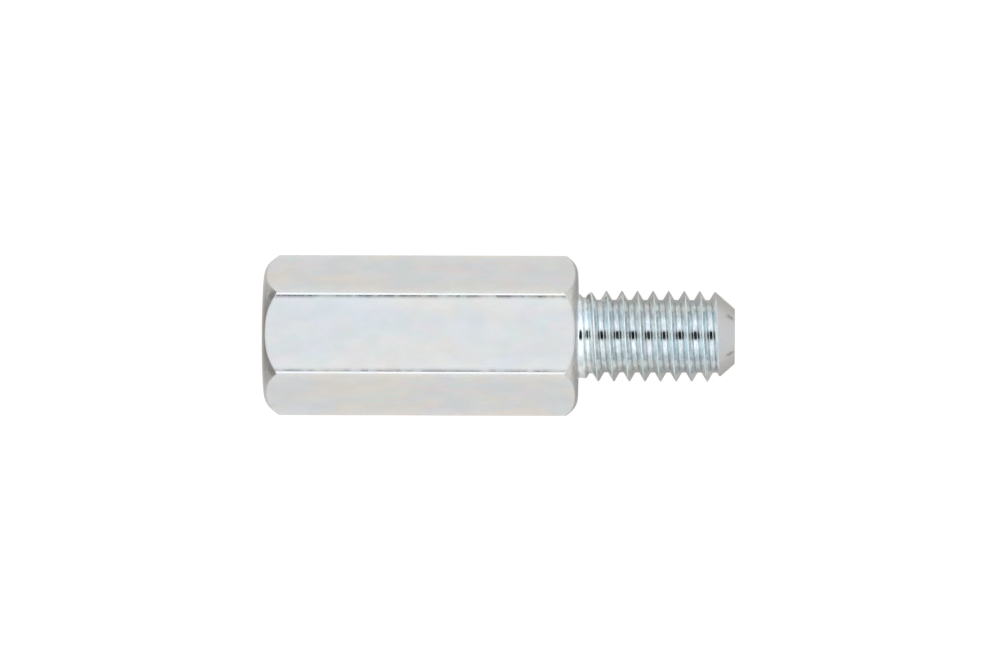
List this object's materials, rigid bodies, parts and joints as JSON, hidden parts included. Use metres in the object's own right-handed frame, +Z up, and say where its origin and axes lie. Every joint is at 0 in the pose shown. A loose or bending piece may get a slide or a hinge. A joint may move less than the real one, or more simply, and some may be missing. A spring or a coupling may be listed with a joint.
{
  "type": "coupling nut",
  "caption": "Hex coupling nut with a blind threaded hole in one end and a threaded stud on the other, for joining or spacing two threaded parts.",
  "frame": {"origin": "middle of the bounding box's bottom face, on the hex flat that the nut lies on", "axes": "+X along the thread axis from the female end to the stud's tip, +Z up out of the upper hex flat, +Y across two hex corners"},
  "size_m": [0.048, 0.0164, 0.0143],
  "materials": {
    "plated_steel": "bright zinc plate, satin on the hex flats and glossier on the rolled thread"
  },
  "bodies": {
    "root": {"coupling_nut_body": "plated_steel"}
  },
  "joints": []
}
